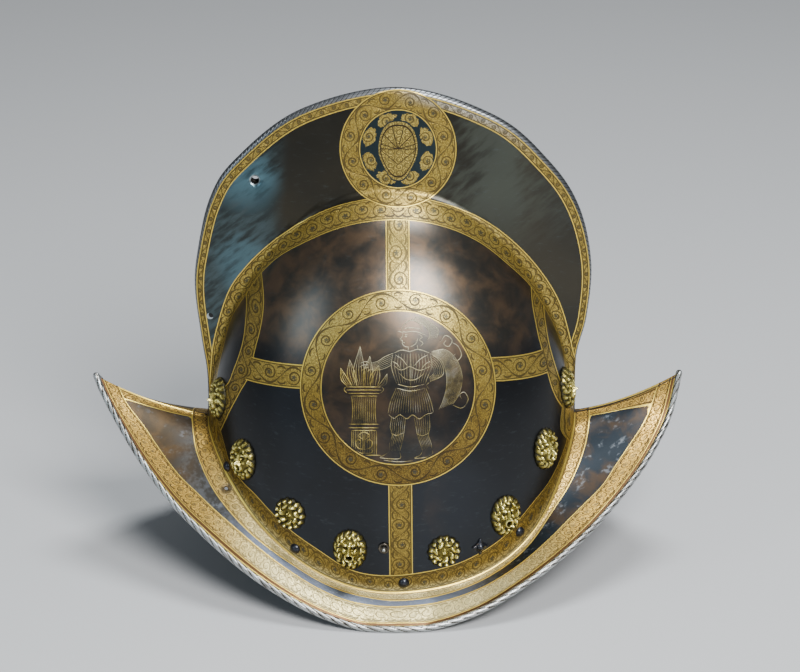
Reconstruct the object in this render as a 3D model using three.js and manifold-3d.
// A comb morion: a guard's open helmet of blued and gilt-etched steel, with brass lion masks.
// Millimetres, +Z up, +X towards the brow peak. The origin is on the ground under the middle of the brim.
import * as THREE from "three";
import { mergeVertices } from "three/addons/utils/BufferGeometryUtils.js";
import Module from "manifold-3d";

const wasm = await Module();
wasm.setup();

// The bowl of the helmet, measured at the crease where the brim springs from it
const skullLength = 228;
const skullWidth = 184;
const skullHeight = 240; // ground to the apex that the comb hides
const beltHeight = 45; // where the sides start to lean in
const endBeltHeight = 75; // where the two ends start to lean in
const sideRootHeight = 13.5; // crease of the brim at the two sides
const browRootHeight = 93.7; // the same crease at the brow end
const napeRootHeight = 90.9; // and at the nape end

// The hollow comb
const combRise = 63; // crest above the hidden apex
const combOverhang = 7.2; // how far the comb stands out past the bowl's ends
const combSway = 1; // the comb leans this much towards the brow
const crestThickness = 6.5;
const combFlare = 0.13; // growth of the half thickness for each millimetre below the crest
const combFillet = 14;

// The brim
const sideOverhang = 25; // bowl to the centre of the rolled edge, at the sides
const browPeak = 66.4;
const napePeak = 66.4;
const browTipHeight = 119;
const napeTipHeight = 117;
const peakCamber = 0.55; // how much of the peak's climb comes late
const lowestPoint = 6; // the edge is lowest at this X
const rollDiameter = 4.4; // the roped edge

const plate = 1.2; // thickness of the steel
const clearance = 0.3; // between pieces
const castClearance = 0.45; // a casting's back bridges the curve of the plate
const burrClearance = 0.7; // a flat burr bridges the hollow of the curved plate

// Holes
const crestHoleDiameter = 5.2;
const crestHoleX = -79.6;
const crestHoleDrop = 56.6; // below the top of the comb
const brimHoleDiameter = 2.6;
const brimHoleTurn = 0.58; // radians round from the nape
const brimHoleAcross = 0.12;

// Brass masks, rosettes and iron rivets
const maskWidth = 20.5;
const maskHeight = 25.5;
const maskRelief = 5.6;
const rosetteDiameter = 20.5;
const rosetteRelief = 4.6;
const ornamentRim = 1.1; // thickness of a casting at its outline
const shankDiameter = 3.4;
const burrDiameter = 6.6; // the shank's clenched end inside the bowl
const burrThickness = 1;
const rivetDiameter = 6.6;
const rivetDome = 2.1;
const lugReach = 5.2;
const pinDiameter = 2.2;
const pinLength = 4.5;

// Mesh counts
const turnSteps = 28; // along half of the crease, from nape to brow
const combSteps = 17; // over the comb, from brow to nape
const combFootStep = 0.45; // one more ray near each end of the comb
const brimShares = [0, 0.13, 0.36, 0.68, 1];
const bowlShares = [0, 0.26, 0.48, 0.67, 0.82, 0.93];
const combShares = [0.1, 0.42, 0.78];
const rollSides = 6;
const boreSides = 10;
const reliefRings = [0.21, 0.42, 0.7, 1];
const reliefSectors = 12;
const bedRing = 0.6; // share of a casting's outline where its back is measured again

// Comb outline from nape to brow: reach as a share of the comb's half length, rise as a share of its
// height above the crease at that end. The two ends of the crease close it.
const combOutline = [
  { reach: -0.949, rise: 0.13 },
  { reach: -0.974, rise: 0.246 },
  { reach: -1, rise: 0.396 },
  { reach: -0.982, rise: 0.509 },
  { reach: -0.915, rise: 0.669 },
  { reach: -0.787, rise: 0.785 },
  { reach: -0.457, rise: 0.935 },
  { reach: 0.036, rise: 1 },
  { reach: 0.508, rise: 0.915 },
  { reach: 0.779, rise: 0.777 },
  { reach: 0.929, rise: 0.642 },
  { reach: 0.997, rise: 0.47 },
  { reach: 0.981, rise: 0.302 },
  { reach: 0.933, rise: 0.173 },
];

// Height of the brim's edge from its lowest point to a tip: along as a share of the way to the tip,
// rise as a share of the tip's height.
const edgeRise = {
  nape: [
    { along: 0, rise: 0 },
    { along: 0.1, rise: 0 },
    { along: 0.244, rise: 0.056 },
    { along: 0.372, rise: 0.137 },
    { along: 0.502, rise: 0.24 },
    { along: 0.633, rise: 0.368 },
    { along: 0.733, rise: 0.475 },
    { along: 0.835, rise: 0.63 },
    { along: 0.905, rise: 0.765 },
    { along: 0.974, rise: 0.92 },
    { along: 1, rise: 1 },
  ],
  brow: [
    { along: 0, rise: 0 },
    { along: 0.1, rise: 0 },
    { along: 0.28, rise: 0.065 },
    { along: 0.416, rise: 0.15 },
    { along: 0.556, rise: 0.252 },
    { along: 0.698, rise: 0.378 },
    { along: 0.844, rise: 0.548 },
    { along: 0.918, rise: 0.672 },
    { along: 0.97, rise: 0.81 },
    { along: 1, rise: 1 },
  ],
};

// How the crease climbs to each end: the share that follows the square, the rest the sixth power.
const creaseClimb = { nape: 0.85, brow: 0.35 };

// Ornaments on one side of the bowl, nape to brow: reach as a share of the bowl's half length, lift
// above the crease in millimetres.
const ornaments = [
  { kind: "lion", reach: -0.925, lift: 36 },
  { kind: "lion", reach: -0.787, lift: 28 },
  { kind: "rosette", reach: -0.534, lift: 27 },
  { kind: "lion", reach: -0.217, lift: 25 },
  { kind: "rosette", reach: 0.278, lift: 24 },
  { kind: "lion", reach: 0.605, lift: 30 },
  { kind: "lion", reach: 0.82, lift: 42 },
  { kind: "lion", reach: 0.94, lift: 43 },
];
const domeRivets = [
  { kind: "dome", reach: -0.88, lift: 5 },
  { kind: "dome", reach: -0.51, lift: 6 },
  { kind: "dome", reach: 0.067, lift: 6.5 },
  { kind: "dome", reach: 0.685, lift: 10 },
];
const luggedRivet = { reach: 0.469, lift: 19 };
const lacePin = { reach: -0.038, lift: 30 };

// Worked out from the sizes above
const crestHeight = skullHeight + combRise;
const combHalf = skullLength / 2 + combOverhang;
const rollRadius = rollDiameter / 2;
const rollSeat = rollRadius * Math.cos(Math.PI / rollSides); // its flats lie on the ground
const skullCentre = (browPeak - napePeak) / 2 + 2.4;
const napeEnd = skullCentre - skullLength / 2;
const browEnd = skullCentre + skullLength / 2;
const napeTip = napeEnd - napePeak - skullCentre;
const browTip = browEnd + browPeak - skullCentre;
const pole = { x: lowestPoint, z: 0.59 * skullHeight };

// A value read off a table by a smooth curve through its rows.
function readTable(rows, key, value, at) {
  let i = 0;
  while (i < rows.length - 2 && rows[i + 1][key] < at) i += 1;
  const [p0, p1] = [rows[Math.max(i - 1, 0)], rows[i]];
  const [p2, p3] = [rows[i + 1], rows[Math.min(i + 2, rows.length - 1)]];
  const step = p2[key] - p1[key];
  const t = (at - p1[key]) / step;
  const m1 = ((p2[value] - p0[value]) / (p2[key] - p0[key])) * step;
  const m2 = ((p3[value] - p1[value]) / (p3[key] - p1[key])) * step;
  const [t2, t3] = [t * t, t * t * t];
  return (
    (2 * t3 - 3 * t2 + 1) * p1[value] +
    (t3 - 2 * t2 + t) * m1 +
    (3 * t2 - 2 * t3) * p2[value] +
    (t3 - t2) * m2
  );
}

// The crease between bowl and brim, turn 0 at the nape end and pi at the brow end, on the near side.
function creasePoint(turn) {
  const along = -Math.cos(turn);
  const end = along < 0 ? napeRootHeight : browRootHeight;
  const square = along < 0 ? creaseClimb.nape : creaseClimb.brow;
  const climb = square * along ** 2 + (1 - square) * along ** 6;
  const x = skullCentre + (skullLength / 2) * along;
  const z = sideRootHeight + (end - sideRootHeight) * climb;
  return new THREE.Vector3(x, -bowlHalfWidth(x, z), z);
}

// The centre line of the rolled edge, on the near side.
function edgePoint(turn) {
  const along = Math.abs(Math.cos(turn)) ** 1.6;
  const nape = Math.cos(turn) > 0;
  const tip = nape ? napeTip : browTip;
  const rise = (nape ? napeTipHeight : browTipHeight) - rollSeat;
  const share = Math.max(readTable(nape ? edgeRise.nape : edgeRise.brow, "along", "rise", along), 0);
  return new THREE.Vector3(
    lowestPoint + (tip - lowestPoint) * along,
    -(skullWidth / 2 + sideOverhang) * (1 - along ** 2.1),
    rollSeat + rise * share,
  );
}

// The brim is ruled from crease to edge, with its peaks climbing late.
function brimPoint(turn, across) {
  const [from, to] = [creasePoint(turn), edgePoint(turn)];
  const endness = Math.cos(turn) ** 2;
  const late = across * (1 - peakCamber * endness * (1 - across));
  const point = from.clone().lerp(to, across);
  point.z = from.z + (to.z - from.z) * late;
  return point;
}

// Half width of the bowl alone: an ovoid whose sides and ends lean in from their own heights.
function bowlHalfWidth(x, z) {
  const side = Math.max((z - beltHeight) / (skullHeight - beltHeight), 0);
  const end = Math.max((z - endBeltHeight) / (skullHeight - endBeltHeight), 0);
  const across = 1 - side ** 2;
  const taper = (skullHeight - endBeltHeight) / (skullHeight - beltHeight);
  const ratio = end > 0 ? (taper * (1 + side)) / (1 + end) : across;
  const left = across - ((x - skullCentre) / (skullLength / 2)) ** 2 * ratio;
  return (skullWidth / 2) * Math.sign(left) * Math.sqrt(Math.abs(left));
}

// The comb's outline in side view, as a smooth curve through its table and the ends of the crease.
function makeCombOutline() {
  const [nape, brow] = [creasePoint(0), creasePoint(Math.PI)];
  const points = combOutline.map(({ reach, rise }) => {
    const foot = reach < 0 ? nape.z : brow.z;
    const x = skullCentre + combSway + combHalf * reach;
    return new THREE.Vector3(x, 0, foot + (crestHeight - foot) * rise);
  });
  return new THREE.CatmullRomCurve3([nape, ...points, brow].map((p) => p.setY(0)), false, "catmullrom");
}
const outline = makeCombOutline();
const outlineSamples = outline.getPoints(160);

function depthBelowCrest(x, z) {
  let best = Infinity;
  for (let i = 1; i < outlineSamples.length; i += 1) {
    const [a, b] = [outlineSamples[i - 1], outlineSamples[i]];
    const [dx, dz] = [b.x - a.x, b.z - a.z];
    const t = ((x - a.x) * dx + (z - a.z) * dz) / (dx * dx + dz * dz);
    const s = THREE.MathUtils.clamp(t, 0, 1);
    best = Math.min(best, Math.hypot(x - a.x - dx * s, z - a.z - dz * s));
  }
  return best;
}

// Half thickness of the comb: a round crest, then a slow flare towards its foot.
function combHalfThickness(depth) {
  const round = crestThickness / 2;
  const share = 1 - Math.min(depth / round, 1);
  return round * Math.sqrt(1 - share ** 2) + combFlare * Math.max(depth - round, 0);
}

// Half width of bowl and comb together, with a fillet where they meet.
function halfWidth(x, z) {
  const bowl = bowlHalfWidth(x, z);
  const comb = combHalfThickness(depthBelowCrest(x, z));
  const fillet = Math.min(combFillet, 2 * comb) + 1e-6;
  const blend = Math.max(fillet - Math.abs(bowl - comb), 0) / fillet;
  return Math.max(bowl, comb) + (blend ** 2 * fillet) / 4;
}

// Side wall of bowl and comb: rays from the pole to the outline, with a row on each side of the foot.
function wallRows(edge) {
  const reach = Math.hypot(edge.x - pole.x, edge.z - pole.z);
  const at = (share) => ({ x: pole.x + (edge.x - pole.x) * share, z: pole.z + (edge.z - pole.z) * share });
  let foot = 1;
  for (let share = 1; share > 0.3; share -= 0.01) {
    const { x, z } = at(share);
    if (bowlHalfWidth(x, z) > combHalfThickness(depthBelowCrest(x, z))) {
      foot = share;
      break;
    }
  }
  const onWall = (share) => {
    const { x, z } = at(share);
    return new THREE.Vector3(x, -halfWidth(x, z), z);
  };
  const crestRows = [1 - crestThickness / 2 / reach, 1 - crestThickness / 7 / reach];
  const footless = foot === 1;
  foot = Math.min(foot, 1 - crestThickness / reach);
  const bowlRows = bowlShares.map((share) => onWall(share * foot));
  if (footless) return [...bowlRows, ...combShares.map(() => edge), edge, edge];
  const beyond = combShares.map((share) => foot + (crestRows[0] - foot) * share);
  return [...bowlRows, ...[...beyond, ...crestRows].map(onWall)];
}

// Both sides of a surface given by rows of points on the near side, as triangles facing outwards.
function sheetTriangles(rows, closed) {
  const triangles = [];
  const count = rows[0].length;
  for (let i = 0; i + 1 < rows.length + (closed ? 1 : 0); i += 1) {
    const [a, b] = [rows[i], rows[(i + 1) % rows.length]];
    for (let j = 0; j + 1 < count; j += 1) {
      triangles.push([a[j], b[j + 1], b[j]], [a[j], a[j + 1], b[j + 1]]);
    }
  }
  const mirror = (p) => new THREE.Vector3(p.x, -p.y, p.z);
  return triangles.flatMap(([a, b, c]) => [
    [a, b, c],
    [mirror(a), mirror(c), mirror(b)],
  ]);
}

function geometryOf(triangles) {
  const geometry = new THREE.BufferGeometry().setFromPoints(triangles.flat());
  const merged = mergeVertices(geometry, 1e-3);
  const index = Array.from(merged.index.array);
  const kept = [];
  for (let i = 0; i < index.length; i += 3) {
    const [a, b, c] = index.slice(i, i + 3);
    if (a !== b && b !== c && c !== a) kept.push(a, b, c);
  }
  return merged.setIndex(kept);
}

// A plate of even thickness under an open surface, closed along its free edge.
function thicken(surface, thickness) {
  surface.computeVertexNormals();
  const { position, normal } = surface.attributes;
  const outer = [];
  const inner = [];
  for (let i = 0; i < position.count; i += 1) {
    const point = new THREE.Vector3().fromBufferAttribute(position, i);
    const inwards = new THREE.Vector3().fromBufferAttribute(normal, i);
    outer.push(point);
    inner.push(point.clone().addScaledVector(inwards, -thickness));
  }
  const index = surface.index.array;
  const triangles = [];
  const edges = new Map();
  for (let i = 0; i < index.length; i += 3) {
    const [a, b, c] = index.slice(i, i + 3);
    triangles.push([outer[a], outer[b], outer[c]], [inner[a], inner[c], inner[b]]);
    for (const [from, to] of [[a, b], [b, c], [c, a]]) edges.set(`${from} ${to}`, [from, to]);
  }
  for (const [from, to] of edges.values()) {
    if (edges.has(`${to} ${from}`)) continue;
    triangles.push([outer[to], outer[from], inner[from]], [outer[to], inner[from], inner[to]]);
  }
  return geometryOf(triangles);
}

// Solids for cutting and joining
function solidOf(geometry) {
  const bare = geometry.index ? geometry.toNonIndexed() : geometry.clone();
  bare.deleteAttribute("normal");
  bare.deleteAttribute("uv");
  const merged = mergeVertices(bare, 1e-4);
  const mesh = { numProp: 3, vertProperties: merged.attributes.position.array };
  return new wasm.Manifold(new wasm.Mesh({ ...mesh, triVerts: new Uint32Array(merged.index.array) }));
}

function geometryFrom(solid) {
  const { vertProperties, triVerts } = solid.getMesh();
  const geometry = new THREE.BufferGeometry();
  geometry.setAttribute("position", new THREE.BufferAttribute(vertProperties, 3));
  geometry.setIndex(new THREE.BufferAttribute(triVerts, 1));
  return geometry;
}

// A round bar along a closed loop of points, for the rolled edge.
function barAlongLoop(points, radius, sides) {
  const rings = points.map((point, i) => {
    const before = points[(i + points.length - 1) % points.length];
    const after = points[(i + 1) % points.length];
    const run = after.clone().sub(before).normalize();
    const out = run.clone().cross(new THREE.Vector3(0, 0, 1)).normalize();
    const up = out.clone().cross(run);
    return Array.from({ length: sides + 1 }, (_, k) => {
      const angle = ((k % sides) * 2 * Math.PI) / sides;
      const offset = out.clone().multiplyScalar(Math.cos(angle) * radius);
      return offset.addScaledVector(up, Math.sin(angle) * radius).add(point);
    });
  });
  const triangles = [];
  rings.forEach((ring, i) => {
    const next = rings[(i + 1) % rings.length];
    for (let k = 0; k < sides; k += 1) {
      triangles.push([ring[k], next[k], next[k + 1]], [ring[k], next[k + 1], ring[k + 1]]);
    }
  });
  return geometryOf(triangles);
}

// The crease and the outline of the comb, split into steps; both run once round the near side.
const turns = Array.from({ length: turnSteps + 1 }, (_, i) => (Math.PI * i) / turnSteps);

function bowlAndComb() {
  const crease = turns.map(creasePoint);
  const even = Array.from({ length: combSteps - 1 }, (_, i) => i + 1);
  const steps = [combFootStep, ...even, combSteps - combFootStep];
  const crest = steps.map((step) => outline.getPointAt(1 - step / combSteps));
  const loop = [...crease, ...crest];
  return loop.map((edge) => [...wallRows(edge), edge]);
}

function outerSurface() {
  const wall = sheetTriangles(bowlAndComb(), true);
  const brim = sheetTriangles(
    turns.map((turn) => brimShares.map((across) => brimPoint(turn, across))),
    false,
  );
  return geometryOf([...wall, ...brim]);
}

function makeShell(surface) {
  const near = turns.map(edgePoint);
  const far = near.slice(1, -1).reverse().map((p) => new THREE.Vector3(p.x, -p.y, p.z));
  const roll = barAlongLoop([...near, ...far], rollRadius, rollSides);
  return solidOf(thicken(surface, plate)).add(solidOf(roll));
}

// A bore along an axis, as a solid to cut with.
function bore(diameter, length, centre, direction) {
  const drill = new THREE.CylinderGeometry(diameter / 2, diameter / 2, length, boreSides);
  const turn = new THREE.Quaternion().setFromUnitVectors(new THREE.Vector3(0, 1, 0), direction);
  drill.applyQuaternion(turn);
  drill.translate(centre.x, centre.y, centre.z);
  return solidOf(drill);
}

// How far the plate lies below a seat's flat plane at a place on it.
function fallAt(seat, x, y) {
  const above = new THREE.Vector3(x, y, maskWidth).applyQuaternion(seat.quaternion).add(seat.position);
  const down = new THREE.Vector3(0, 0, -1).applyQuaternion(seat.quaternion);
  const [hit] = new THREE.Raycaster(above, down).intersectObject(plateSurface);
  return hit.distance - maskWidth;
}

// Seat of an ornament: its place on the bowl, with local +Z straight out and +Y uphill.
function seatOf({ reach, lift }, side) {
  const x = skullCentre + (skullLength / 2) * reach;
  const z = creasePoint(Math.acos(-reach)).z + lift;
  const step = 4;
  const slopeX = (halfWidth(x + step, z) - halfWidth(x - step, z)) / (2 * step);
  const slopeZ = (halfWidth(x, z + step) - halfWidth(x, z - step)) / (2 * step);
  const out = new THREE.Vector3(-slopeX, side, -slopeZ).normalize();
  const right = new THREE.Vector3(0, 0, 1).cross(out).normalize();
  const up = out.clone().cross(right);
  const seat = new THREE.Group();
  seat.position.set(x, side * halfWidth(x, z), z);
  seat.quaternion.setFromRotationMatrix(new THREE.Matrix4().makeBasis(right, up, out));
  seat.position.addScaledVector(out, -fallAt(seat, 0, 0));
  return seat;
}

// A cast relief bedded on the bowl: rings of points whose height is a function of the place on the face.
function relief(seat, width, height, heightAt) {
  const [rings, sectors] = [reliefRings, reliefSectors];
  const bed = (x, y) => castClearance - fallAt(seat, x, y);
  const place = (ring, k) => {
    const angle = ((k % sectors) * 2 * Math.PI) / sectors;
    const [across, up] = [Math.cos(angle) * ring, Math.sin(angle) * ring];
    const [x, y] = [(across * width) / 2, (up * height) / 2];
    return new THREE.Vector3(x, y, bed(x, y) + ornamentRim + heightAt(across, up));
  };
  const drop = (point) => new THREE.Vector3(point.x, point.y, bed(point.x, point.y));
  const [crown, base] = [place(0, 0), new THREE.Vector3(0, 0, castClearance)];
  const triangles = [];
  for (let k = 0; k < sectors; k += 1) {
    triangles.push([crown, place(rings[0], k), place(rings[0], k + 1)]);
    for (let j = 0; j + 1 < rings.length; j += 1) {
      const [a, b] = [place(rings[j], k), place(rings[j], k + 1)];
      const [c, d] = [place(rings[j + 1], k), place(rings[j + 1], k + 1)];
      triangles.push([a, c, d], [a, d, b]);
    }
    const [e, f] = [place(rings.at(-1), k), place(rings.at(-1), k + 1)];
    const [g, h] = [drop(place(bedRing, k)), drop(place(bedRing, k + 1))];
    triangles.push([e, drop(e), drop(f)], [e, drop(f), f]);
    triangles.push([drop(e), g, h], [drop(e), h, drop(f)], [base, h, g]);
  }
  return solidOf(geometryOf(triangles));
}

// The shank that holds an ornament: through its hole and clenched inside the plate.
function shankProfile() {
  const inside = -(plate + burrClearance);
  return [
    [0, inside - burrThickness],
    [burrDiameter / 2, inside - burrThickness],
    [burrDiameter / 2, inside],
    [shankDiameter / 2, inside],
    [shankDiameter / 2, castClearance + ornamentRim / 2],
    [0, castClearance + ornamentRim / 2],
  ];
}

function turned(profile, sides) {
  const lathe = new THREE.LatheGeometry(profile.map(([r, z]) => new THREE.Vector2(r, z)), sides);
  return solidOf(lathe.rotateX(Math.PI / 2));
}

const bump = (x, y, cx, cy, wide, tall) => Math.exp(-(((x - cx) / wide) ** 2) - ((y - cy) / tall) ** 2);

// A lion's face in low relief: a scalloped mane round brows, cheeks and a muzzle.
function lionHeight(x, y) {
  const ring = Math.hypot(x, y);
  const mane = 0.42 * Math.exp(-(((ring - 0.72) / 0.2) ** 2));
  const brows = 0.35 * (bump(x, y, -0.28, 0.3, 0.2, 0.16) + bump(x, y, 0.28, 0.3, 0.2, 0.16));
  const muzzle = 0.95 * bump(x, y, 0, -0.16, 0.3, 0.3);
  const nose = 0.3 * bump(x, y, 0, 0.12, 0.14, 0.3);
  return maskRelief * Math.min(mane + brows + muzzle + nose, 1) * (1 - ring ** 6);
}

function rosetteHeight(x, y) {
  const ring = Math.hypot(x, y);
  const petals = 0.45 * Math.exp(-(((ring - 0.62) / 0.26) ** 2));
  return rosetteRelief * (petals + 0.9 * bump(x, y, 0, 0, 0.24, 0.24)) * (1 - ring ** 6);
}

const makeLion = (seat) =>
  relief(seat, maskWidth, maskHeight, lionHeight).add(turned(shankProfile(), 6));

const makeRosette = (seat) =>
  relief(seat, rosetteDiameter, rosetteDiameter, rosetteHeight).add(turned(shankProfile(), 6));

function makeDomeRivet() {
  const dome = [1, 0.55].map((share) => [(rivetDiameter / 2) * share, clearance + rivetDome * (1 - share ** 2)]);
  const shank = shankProfile().slice(0, 4);
  return turned([...shank, [shankDiameter / 2, clearance], ...dome, [0, clearance + rivetDome]], 8);
}

// An iron rivet whose washer has four lugs.
function makeLuggedRivet() {
  const lugs = new THREE.Shape();
  for (let k = 0; k < 16; k += 1) {
    const angle = (k * Math.PI) / 8;
    const radius = k % 4 === 0 ? lugReach : rivetDiameter / 2 - 0.4 * (k % 2);
    const point = [Math.cos(angle) * radius, Math.sin(angle) * radius];
    if (k === 0) lugs.moveTo(...point);
    else lugs.lineTo(...point);
  }
  const washer = new THREE.ExtrudeGeometry(lugs, { depth: ornamentRim, bevelEnabled: false });
  return solidOf(washer.translate(0, 0, clearance)).add(makeDomeRivet());
}

// A small steel pin that stands out of its washer.
function makeLacePin() {
  const top = clearance + pinLength;
  const washerTop = clearance + ornamentRim;
  return turned(
    [
      ...shankProfile().slice(0, 4),
      [shankDiameter / 2, clearance],
      [rivetDiameter / 2, clearance],
      [rivetDiameter / 2, washerTop],
      [pinDiameter / 2, washerTop],
      [pinDiameter / 2, top - pinDiameter / 4],
      [0, top],
    ],
    8,
  );
}

const plateSurface = new THREE.Mesh(outerSurface());

// Materials
const steel = new THREE.MeshStandardMaterial({ color: 0x2b2f30, roughness: 0.35, metalness: 0.9 });
const brass = new THREE.MeshStandardMaterial({ color: 0xb89a4a, roughness: 0.38, metalness: 1 });
const iron = new THREE.MeshStandardMaterial({ color: 0x3a3836, roughness: 0.5, metalness: 0.85 });
const brightSteel = new THREE.MeshStandardMaterial({ color: 0x9a9c9c, roughness: 0.35, metalness: 1 });

const helmet = new THREE.Group();
helmet.name = "comb_morion";
const shellHoles = [];

// Seats a piece on one side of the bowl and drills the hole for its shank.
function seatPiece(name, make, row, side, material) {
  const seat = seatOf(row, side);
  const mesh = new THREE.Mesh(geometryFrom(make(seat)), material);
  mesh.name = name;
  seat.add(mesh);
  helmet.add(seat);
  const out = new THREE.Vector3(0, 0, 1).applyQuaternion(seat.quaternion);
  shellHoles.push(bore(shankDiameter + 2 * clearance, 6 * plate, seat.position, out));
}

const kinds = {
  lion: { name: "lion_mask", make: makeLion, material: brass },
  rosette: { name: "rosette", make: makeRosette, material: brass },
  dome: { name: "dome_rivet", make: makeDomeRivet, material: iron },
};

function addOrnaments() {
  const counts = { lion: 0, rosette: 0, dome: 0 };
  for (const side of [-1, 1]) {
    for (const row of [...ornaments, ...domeRivets]) {
      counts[row.kind] += 1;
      const { name, make, material } = kinds[row.kind];
      seatPiece(`${name}_${counts[row.kind]}`, make, row, side, material);
    }
  }
  seatPiece("lugged_rivet", makeLuggedRivet, luggedRivet, -1, iron);
  seatPiece("lace_pin", makeLacePin, lacePin, -1, brightSteel);
}

function addShell() {
  const crestHole = new THREE.Vector3(crestHoleX, 0, crestHeight - crestHoleDrop);
  shellHoles.push(bore(crestHoleDiameter, skullWidth / 2, crestHole, new THREE.Vector3(0, 1, 0)));
  const brimHole = brimPoint(brimHoleTurn, brimHoleAcross);
  shellHoles.push(bore(brimHoleDiameter, 8 * plate, brimHole, new THREE.Vector3(0, 0, 1)));
  const solid = shellHoles.reduce((whole, hole) => whole.subtract(hole), makeShell(plateSurface.geometry));
  const shell = new THREE.Mesh(geometryFrom(solid), steel);
  shell.name = "helmet_shell";
  helmet.add(shell);
}

addOrnaments();
addShell();

export default helmet;
